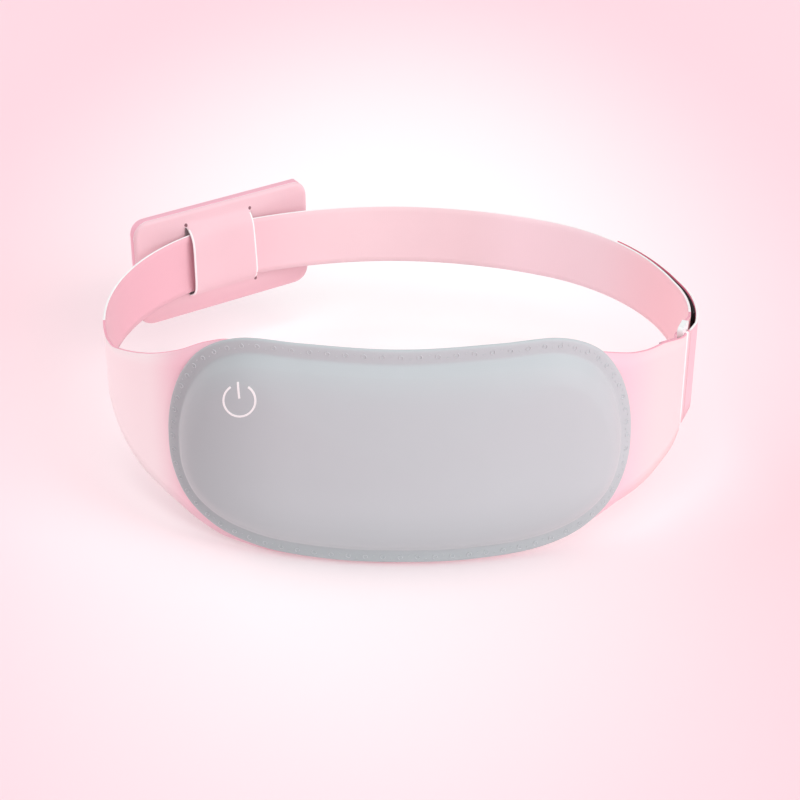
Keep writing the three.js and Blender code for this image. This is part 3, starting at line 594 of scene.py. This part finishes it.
def ring_walk(gx, gy, k):
    """Steps clockwise from the top middle to point (gx, gy) of the square ring k, which has 8k points."""
    if gy == k and gx < k:
        return gx % (8 * k)
    if gx == k and gy > -k:
        return 2 * k - gy
    if gy == -k and gx > -k:
        return 4 * k - gx
    return 6 * k + gy


def pad_sheet(offset, start_inset):
    """Vertices and quads of a pad-shaped sheet from its centre out to start_inset, and its outer ring.

    A square grid is pressed into the outline ring by ring, so that every quad stays close to square."""
    grid, verts, coords = {}, [], []
    n = RINGS
    rim = [None] * (8 * n)
    for gx in range(-n, n + 1):
        for gy in range(-n, n + 1):
            k = max(abs(gx), abs(gy))
            walk = ring_walk(gx, gy, k) if k else 0
            share = k / n
            reach = 1.35 * share - 0.35 * share ** 3 if share < 1 else 1.0
            inset = CENTRE - (CENTRE - start_inset) * reach
            s, z = pad_point(walk / (8 * k) if k else 0.0, inset)
            if k == n:
                rim[walk] = len(verts)
            grid[gx, gy] = len(verts)
            verts.append(place(s, offset(inset), z))
            coords.append((s * MM, z * MM))
    faces = [(grid[x, y], grid[x + 1, y], grid[x + 1, y + 1], grid[x, y + 1])
             for x in range(-n, n) for y in range(-n, n)]
    return verts, coords, faces, rim


def pad_cover(name, profile_insets, offset, back, materials):
    """Padded skin: the sheet, its border rings, then the rings of its turned-in back as (inset, t).

    Everything outside the sheet's free part is in the vertex group that the cloth simulation holds still."""
    verts, coords, faces, rim = pad_sheet(offset, profile_insets[0])
    previous = rim
    pinned = list(rim)
    rings = [(inset, offset(inset)) for inset in profile_insets[1:]] + back
    for inset, t in rings:
        current = []
        for i in range(EDGE_COUNT):
            s, z = pad_point(i / EDGE_COUNT, inset)
            current.append(len(verts))
            verts.append(place(s, t, z))
            coords.append((s * MM, z * MM))
        for i in range(EDGE_COUNT):
            j = (i + 1) % EDGE_COUNT
            faces.append((previous[i], previous[j], current[j], current[i]))
        pinned += current
        previous = current
    obj = new_object(name, verts, faces, materials, None, coords)
    group = obj.vertex_groups.new(name="held")
    group.add(pinned, 1.0, "REPLACE")
    return obj


def inflate(obj, pressure, most, frames=16):
    """Blows the free part of a padded skin outwards as cloth, held at its border, by at most `most` mm."""
    rest = np.array([v.co for v in obj.data.vertices], float)
    cloth = obj.modifiers.new("cloth", "CLOTH")
    s = cloth.settings
    s.quality = 5
    s.mass = 0.25
    s.tension_stiffness = s.compression_stiffness = 12
    s.shear_stiffness = 6
    s.bending_stiffness = 1.2
    s.use_pressure = True
    s.uniform_pressure_force = pressure
    s.vertex_group_mass = "held"
    s.effector_weights.gravity = 0.0
    cloth.collision_settings.use_collision = False
    cloth.point_cache.frame_start = 1
    cloth.point_cache.frame_end = frames
    scene = bpy.context.scene
    for f in range(1, frames + 1):
        scene.frame_set(f)
    dg = bpy.context.evaluated_depsgraph_get()
    mesh = obj.evaluated_get(dg).to_mesh()
    moved = np.array([v.co for v in mesh.vertices], float)
    obj.evaluated_get(dg).to_mesh_clear()
    obj.modifiers.remove(cloth)
    shift = moved - rest
    size = np.linalg.norm(shift, axis=1)
    limit = most * MM
    shift *= (limit * np.tanh(size / limit) / np.maximum(size, 1e-9))[:, None]
    obj.data.vertices.foreach_set("co", (rest + shift).astype(np.float32).ravel())
    obj.data.update()
    scene.frame_set(1)


cover = pad_cover("front_cover_cloth", [FLANGE + 0.7, FLANGE, FLANGE - 0.6, 4.8, 3.0, 1.5, 0.7, 0.2, 0.0],
                  cover_t, [(0.1, 1.1), (0.5, 0.8), (1.2, 0.7), (8.0, 0.7)], [COVER])
inflate(cover, 0.6, most=0.7)
cover_tree = BVHTree.FromObject(subdivide(cover, 1), bpy.context.evaluated_depsgraph_get())
apply_modifiers(cover)


def arc_at(x, y):
    """Arc length and outward offset, in millimetres, of a point on the front half of the loop."""
    x, y = x - LOOP_X, y - LOOP_Y
    angle = math.atan2(abs(x) - SIDE_C, -y)
    if angle >= FRONT_A:
        s = FRONT_L + (angle - FRONT_A) * SIDE_R
        return math.copysign(s, x), math.hypot(abs(x) - SIDE_C, y) - SIDE_R
    turn = math.atan2(abs(x), FRONT_Y - y)
    return math.copysign(turn * FRONT_R, x), math.hypot(x, FRONT_Y - y) - FRONT_R


def tucked(name, source, material, clearance):
    """A copy of a soft solid of the frame, pressed in wherever it would touch the cover."""
    mesh = source.data.copy()
    obj = bpy.data.objects.new(name, mesh)
    obj.matrix_world = source.matrix_world.copy()
    bpy.context.scene.collection.objects.link(obj)
    to_local = obj.matrix_world.inverted()
    for v in mesh.vertices:
        p = source.matrix_world @ v.co
        s, t = arc_at(p.x / MM, p.y / MM)
        z = p.z / MM - LEVEL
        inset = np.linalg.norm(edge_points - np.array([s - PAD_S, z - PAD_Z]), axis=1).min()
        t = min(t, cover_t(inset) - clearance)
        v.co = to_local @ Vector(place(s, t, z))
    mesh.materials.clear()
    mesh.materials.append(material)
    return obj


LINER_PROFILE = [(5, -1.0), (5.4, -1.8), (7, -2.4), (12, -2.8), (20, -3.1), (CENTRE, -3.6)]


def liner_t(inset):
    return float(np.interp(inset, *zip(*LINER_PROFILE)))


liner = pad_cover("skin_liner_plush", [7.0, 6.0, 5.4, 5.0], liner_t, [(5.3, -0.8), (8.0, -0.7)], [PLUSH])
liner.data.flip_normals()
finish_piece(liner, "belt", "liner_plush", "skin_liner")
foam = tucked("foam_pad_soft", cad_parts["foam_pad"], FOAM, 1.0)
finish_piece(foam, "belt", "foam", "foam_pad")

# Embossed curls and dots round the flange.
def raised(name, strokes, radius, material):
    """One mesh of round cords along the strokes."""
    curve = bpy.data.curves.new(name, "CURVE")
    curve.dimensions = "3D"
    curve.bevel_depth = radius * MM
    curve.bevel_resolution = 1
    curve.use_fill_caps = True
    for stroke in strokes:
        spline = curve.splines.new("POLY")
        spline.points.add(len(stroke) - 1)
        for point, co in zip(spline.points, stroke):
            point.co = (*co, 1.0)
    obj = bpy.data.objects.new(name, curve)
    bpy.context.scene.collection.objects.link(obj)
    dg = bpy.context.evaluated_depsgraph_get()
    mesh = bpy.data.meshes.new_from_object(obj.evaluated_get(dg))
    bpy.data.objects.remove(obj)
    mesh.materials.clear()
    mesh.materials.append(material)
    out = bpy.data.objects.new(name, mesh)
    bpy.context.scene.collection.objects.link(out)
    mesh.polygons.foreach_set("use_smooth", [True] * len(mesh.polygons))
    return out


MOTIFS = 74
MOTIF_T = 2.66
CURL_RADIUS, CURL_STEPS = 1.45, 12


def flange_point(along, up):
    """Place on the flange: a share of the way round and a distance in from the flange's middle line."""
    s, z = pad_point(along, FLANGE / 2 + up)
    return place(s, MOTIF_T, z)


def curl(start, flip):
    """Open spiral of 300 degrees that tightens towards its end."""
    points = []
    for k in range(CURL_STEPS):
        share = k / (CURL_STEPS - 1)
        a, r = math.radians(-70 + 300 * share), CURL_RADIUS * (1 - 0.45 * share)
        points.append(flange_point(start + r * math.cos(a) / EDGE_LENGTH, flip * r * math.sin(a) * 0.9))
    return points


strokes = []
for i in range(MOTIFS):
    flip = 1 if i % 2 else -1
    strokes.append(curl(i / MOTIFS, flip))
    dot = (i + 0.5) / MOTIFS
    strokes.append([flange_point(dot, -flip * 0.9), flange_point(dot + 0.6 / EDGE_LENGTH, -flip * 0.9)])
stitch = raised("border_stitch_thread", strokes, 0.21, THREAD)
finish_piece(stitch, "belt", "stitch_thread", "border_stitch")

# Power mark, printed on the cover.
KEY_S, KEY_Z = -69.0, 31.0
MARK_SHIFT_X, MARK_SHIFT_Z, MARK_LEAN = 1.8, 2.6, 0.22
MARK_RADIUS, MARK_GAP, MARK_WIDTH = 8.2, 0.57, 1.05
BAR_FOOT, BAR_LENGTH = 1.2, 8.2
key_out = Vector((math.sin(turn_at(KEY_S)), -math.cos(turn_at(KEY_S)), 0))
key_side = Vector((math.cos(turn_at(KEY_S)), math.sin(turn_at(KEY_S)), 0))
key_origin = Vector(place(KEY_S, 30.0, KEY_Z))


def on_cover(x, z, lift=0.12):
    """Point of the printed mark on the cover; the print leans with the slope of the padding."""
    across, up = x + MARK_SHIFT_X, z + MARK_LEAN * x + MARK_SHIFT_Z
    start = key_origin + key_side * across * MM + Vector((0, 0, up * MM))
    hit, normal, _, _ = cover_tree.ray_cast(start, -key_out)
    return hit + normal * lift * MM


def print_ribbon(name, centre_line, width):
    """A flat printed line along (x, z) points, laid on the cover over the key."""
    verts, faces = [], []
    for i, (x, z) in enumerate(centre_line):
        x0, z0 = centre_line[max(0, i - 1)]
        x1, z1 = centre_line[min(len(centre_line) - 1, i + 1)]
        dx, dz = x1 - x0, z1 - z0
        d = math.hypot(dx, dz)
        nx, nz = -dz / d * width / 2, dx / d * width / 2
        for k in (-1, 1):
            verts.append(on_cover(x + nx * k, z + nz * k))
        for k in (1, -1):
            verts.append(on_cover(x + nx * k, z + nz * k, -0.1))
    for i in range(len(centre_line) - 1):
        for j in range(4):
            k = (j + 1) % 4
            faces.append((4 * i + j, 4 * i + 4 + j, 4 * i + 4 + k, 4 * i + k))
    faces.append((0, 1, 2, 3))
    last = 4 * (len(centre_line) - 1)
    faces.append((last + 3, last + 2, last + 1, last))
    obj = new_object(name, verts, faces, [MARK], smooth=False)
    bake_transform(obj)
    return obj


hit, face_normal, _, _ = cover_tree.ray_cast(key_origin, -key_out)
if face_normal.dot(key_out) < 0:
    face_normal = -face_normal
arc = [(MARK_RADIUS * math.sin(a), MARK_RADIUS * math.cos(a))
       for a in np.linspace(MARK_GAP, 2 * math.pi - MARK_GAP, 72)]
bar = [(0.1 - k, BAR_FOOT + BAR_LENGTH * k) for k in np.linspace(0, 1, 11)]
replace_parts(print_ribbon("power_mark_ring_print", arc, MARK_WIDTH), "power_mark_ring")
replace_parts(print_ribbon("power_mark_bar_print", bar, MARK_WIDTH), "power_mark_bar")
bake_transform(cover)
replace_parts(cover, "front_cover")

# ---- battery pouch -------------------------------------------------------------------------------------
# The pouch has its own frame at the middle of its bridge: x along the strap, t outwards and z up.
POUCH_S = -(SIDE_END - (math.radians(33.6) - REAR_A) * SIDE_R)
pouch_turn = turn_at(POUCH_S)
P_ORIGIN = Vector(place(POUCH_S, 0.0, 0.0))
P_ALONG = Vector((math.cos(pouch_turn), math.sin(pouch_turn), 0))
P_OUT = Vector((math.sin(pouch_turn), -math.cos(pouch_turn), 0))
P_L, P_H, P_D, P_R = 108.0, 63.5, 13.0, 9.0   # length, height, depth and corner radius
P_X, P_Z = -3.0, -1.75                        # middle of the pouch
P_FACE = 1.2                                  # t of the panel
SLIT_X, SLIT_Z = 20.0, 22.0                   # half the bridge's length and half the slits' height
LEAN, LEAN_REACH = 2.0, 14.0                  # of the slit nearer the middle of the belt
BRIDGE_RISE, BRIDGE_GAPE = 5.1, 3.6           # the bridge's height, and what its wider slit adds
CORNER_X, CORNER_Z = P_L / 2 - P_R, P_H / 2 - P_R


def pouch_point(x, t, z):
    return P_ORIGIN + P_ALONG * x * MM + P_OUT * t * MM + Vector((0, 0, z * MM))


def rounded_corner(x, z):
    """Moves a grid point of the rectangle so that the rectangle's corners become round."""
    x, z = x - P_X, z - P_Z
    a, b = (abs(x) - CORNER_X) / P_R, (abs(z) - CORNER_Z) / P_R
    if a > 0 and b > 0:
        a, b = a * math.sqrt(1 - b * b / 2), b * math.sqrt(1 - a * a / 2)
        x, z = math.copysign(CORNER_X + a * P_R, x), math.copysign(CORNER_Z + b * P_R, z)
    return x + P_X, z + P_Z


def edge_drop(x, z, radius, open_end):
    """How far the face curls back towards the seam near its border; an open end doesn't curl."""
    x, z = x - P_X, z - P_Z
    a, b = max(0.0, abs(x) - CORNER_X), max(0.0, abs(z) - CORNER_Z)
    if open_end and x < 0:
        a = 0.0
    d = max(0.0, P_R - (math.hypot(a, b) if a > 0 and b > 0 else max(a, b)))
    return radius - math.sqrt(radius * radius - (radius - min(d, radius)) ** 2)


def pouch_lines(low, high, stop, step, radius):
    """Grid lines from low to high that include plus and minus stop, closer together near the border."""
    curl = radius * (1 - np.sin(np.linspace(0, math.pi / 2, 8)))
    knots = [low + radius, -stop, 0.0, stop, high - radius]
    middle = [low + radius]
    for a, b in zip(knots, knots[1:]):
        middle += list(np.linspace(a, b, max(2, round(abs(b - a) / step) + 1))[1:])
    return np.concatenate([low + curl[::-1][:-1], middle, high - curl[1:]])


def pouch_face(name, t_of, material, radius, bridge=None, wall_end=None):
    """One side of the pouch: a rounded sheet at t_of(x, z), with its border curled over the given radius.

    A bridge is cut free along both slits and stands off by bridge(x, z). With a wall_end, walls run from the
    border to that t, apart from the open end, where the battery goes in."""
    xs = pouch_lines(P_X - P_L / 2, P_X + P_L / 2, SLIT_X, 3.0, radius)
    zs = pouch_lines(P_Z - P_H / 2, P_Z + P_H / 2, SLIT_Z, 2.6, radius)
    index, verts, coords, faces = {}, [], [], []

    def vertex(i, j, side):
        x0, z0 = xs[i], zs[j]
        split = bridge and abs(abs(x0) - SLIT_X) < 1e-6 and abs(z0) < SLIT_Z - 1e-6
        key = (i, j, side if split else 0)
        if key not in index:
            x, z = rounded_corner(x0, z0)
            coords.append((x * MM, z * MM))
            x -= slit_lean(x, z) if bridge else 0.0
            on_bridge = bridge and abs(z0) <= SLIT_Z and (abs(x0) < SLIT_X - 1e-6 or (split and side == 1))
            t = t_of(x, z) - (bridge(x, z) if on_bridge else 0.0)
            index[key] = len(verts)
            verts.append(pouch_point(x, t, z))
        return index[key]

    for i in range(len(xs) - 1):
        for j in range(len(zs) - 1):
            side = 1 if abs(xs[i] + xs[i + 1]) / 2 < SLIT_X else 0
            corners = ((i, j), (i + 1, j), (i + 1, j + 1), (i, j + 1))
            faces.append(tuple(vertex(ci, cj, side) for ci, cj in corners))
    if wall_end is not None:
        last_i, last_j = len(xs) - 1, len(zs) - 1
        border = ([(i, 0) for i in range(last_i)] + [(last_i, j) for j in range(last_j)]
                  + [(i, last_j) for i in range(last_i, 0, -1)] + [(0, j) for j in range(last_j, 0, -1)])
        previous = [vertex(i, j, 0) for i, j in border]
        for share in (0.3, 0.65, 1.0):
            current = []
            for i, j in border:
                x, z = rounded_corner(xs[i], zs[j])
                start = t_of(x, z)
                current.append(len(verts))
                verts.append(pouch_point(x, start + (wall_end - start) * share, z))
                coords.append((x * MM, z * MM))
            for k in range(len(border)):
                n = (k + 1) % len(border)
                from_middle = abs((zs[border[k][1]] + zs[border[n][1]]) / 2 - P_Z)
                at_opening = border[k][0] == border[n][0] == 0 and from_middle < CORNER_Z + 4
                if not at_opening:
                    faces.append((previous[n], previous[k], current[k], current[n]))
            previous = current
    return new_object(name, verts, faces, [material, BAND_CORE_AND_HIGHLIGHT], None, coords)


def slit_lean(x, z):
    """The strap drags the foot of the slit nearer the middle of the belt outwards."""
    down = min(1.0, max(0.0, (SLIT_Z - z) / (2 * SLIT_Z)))
    return LEAN * max(0.0, 1 - abs(x + SLIT_X) / LEAN_REACH) * down


def bridge_bulge(x, z):
    """How far the bridge stands off the panel, to let the strap through."""
    fall = max(0.0, 1 - (abs(z) / SLIT_Z) ** 6)
    return (BRIDGE_RISE + BRIDGE_GAPE * max(0.0, x / SLIT_X) ** 2) * fall ** 0.8


def plump(x, z):
    """Padding swell of a pouch face away from its border and its bridge."""
    a = max(0.0, 1 - ((x - P_X) / (P_L / 2)) ** 4)
    b = max(0.0, 1 - ((z - P_Z) / (P_H / 2)) ** 4)
    return a * b


PANEL_ROUND, SHELL_ROUND = 2.2, 9.0
POUCH_CLOTH = 1.2
panel = pouch_face("pouch_panel_cloth", lambda x, z: P_FACE + edge_drop(x, z, PANEL_ROUND, False), PANEL,
                   PANEL_ROUND, bridge=bridge_bulge)
shell = pouch_face("pouch_shell_cloth",
                   lambda x, z: P_FACE + P_D - edge_drop(x, z, SHELL_ROUND, True) + 0.8 * plump(x, z), POUCH,
                   SHELL_ROUND, wall_end=P_FACE + PANEL_ROUND + 0.1)
for cloth_piece, grows, node_name, slot_name in ((panel, 1.0, "pouch_panel", "band_fabric"),
                                                 (shell, -1.0, "pouch_shell", "pouch_fabric")):
    thick = cloth_piece.modifiers.new("thickness", "SOLIDIFY")
    thick.thickness = POUCH_CLOTH * MM
    thick.offset = grows
    thick.material_offset_rim = 1
    subdivide(cloth_piece, 1)
    apply_modifiers(cloth_piece)
    finish_piece(cloth_piece, "pouch", slot_name, node_name)

# ---- stage, light and camera ---------------------------------------------------------------------------
FLOOR_HALF, FLOOR_Z = 6.0, -0.0004   # metres
FLOOR_PALE, FLOOR_PINK = (0.97, 0.945, 0.95), (0.96, 0.63, 0.69)


def stage_plane():
    """Floor that fades from nearly white under the belt to pink, in an oval twice as long as wide."""
    corners = [(-1, -1), (1, -1), (1, 1), (-1, 1)]
    verts = [(x * FLOOR_HALF, y * FLOOR_HALF, FLOOR_Z) for x, y in corners]
    n = Nodes("floor")
    stretch = n.add("ShaderNodeMapping")
    stretch.inputs["Scale"].default_value = (1.0, 0.5, 1.0)
    n.link(coordinates(n, False), stretch.inputs["Vector"])
    centre = n.add("ShaderNodeVectorMath", operation="DISTANCE")
    n.link(stretch.outputs["Vector"], centre.inputs[0])
    centre.inputs[1].default_value = (-0.012, 0.065, 0.0)
    spread = n.add("ShaderNodeMapRange", interpolation_type="SMOOTHSTEP")
    spread.inputs["From Min"].default_value = 0.03
    spread.inputs["From Max"].default_value = 0.32
    n.link(centre.outputs["Value"], spread.inputs["Value"])
    tint = n.mix(spread.outputs["Result"], FLOOR_PALE, FLOOR_PINK)
    n.link(tint, n.bsdf.inputs["Base Color"])
    n.link(tint, n.bsdf.inputs["Emission Color"])
    n.bsdf.inputs["Emission Strength"].default_value = 0.10
    n.bsdf.inputs["Roughness"].default_value = 0.9
    n.bsdf.inputs["Specular IOR Level"].default_value = 0.1
    new_object("floor", verts, [(0, 1, 2, 3)], [n.m], smooth=False)


stage_plane()
world = bpy.data.worlds.new("studio")
world.use_nodes = True
sky = world.node_tree.nodes["Background"]
sky.inputs["Color"].default_value = (0.97, 0.99, 1.0, 1.0)
sky.inputs["Strength"].default_value = 0.42
bpy.context.scene.world = world
bpy.context.scene.view_settings.view_transform = "Standard"   # keeps the pale pinks of the cloth


def sun(name, direction, strength, degrees):
    """Soft light from a direction; degrees is how wide its source looks."""
    light = bpy.data.lights.new(name, "SUN")
    light.energy = strength
    light.angle = math.radians(degrees)
    obj = bpy.data.objects.new(name, light)
    bpy.context.scene.collection.objects.link(obj)
    obj.rotation_mode = "QUATERNION"
    obj.rotation_quaternion = Vector(direction).to_track_quat("Z", "Y")


sun("top", (0.25, -0.3, 1.0), 1.0, 60)
sun("key", (1.0, -0.75, 0.5), 1.45, 50)
sun("fill", (-1.0, 0.35, 0.4), 1.3, 70)

# Camera, turned slightly round the loop's middle, which it sees just left of and above the picture's middle.
LENS, SENSOR = 90.7, 36.0
DISTANCE = 1.05   # metres
ELEVATION, YAW = math.radians(30.0), math.radians(-1.47)
AIM_RIGHT, AIM_DOWN = 0.00179, 0.03107   # tangents


def turned(v):
    cos, sin = math.cos(YAW), math.sin(YAW)
    return Vector((v[0] * cos + v[1] * sin, -v[0] * sin + v[1] * cos, v[2]))


forward = Vector((0, math.cos(ELEVATION), -math.sin(ELEVATION)))
right = Vector((1, 0, 0))
up = Vector((0, math.sin(ELEVATION), math.cos(ELEVATION)))
eye = -forward * DISTANCE
aim = forward + right * AIM_RIGHT - up * AIM_DOWN

camera = bpy.data.cameras.new("camera")
camera.lens = LENS
camera.sensor_width = SENSOR
camera_object = bpy.data.objects.new("camera", camera)
bpy.context.scene.collection.objects.link(camera_object)
camera_object.location = turned(eye) + Vector((LOOP_X, LOOP_Y, LEVEL)) * MM
camera_object.rotation_mode = "QUATERNION"
camera_object.rotation_quaternion = turned(aim).to_track_quat("-Z", "Y")
bpy.context.scene.camera = camera_object
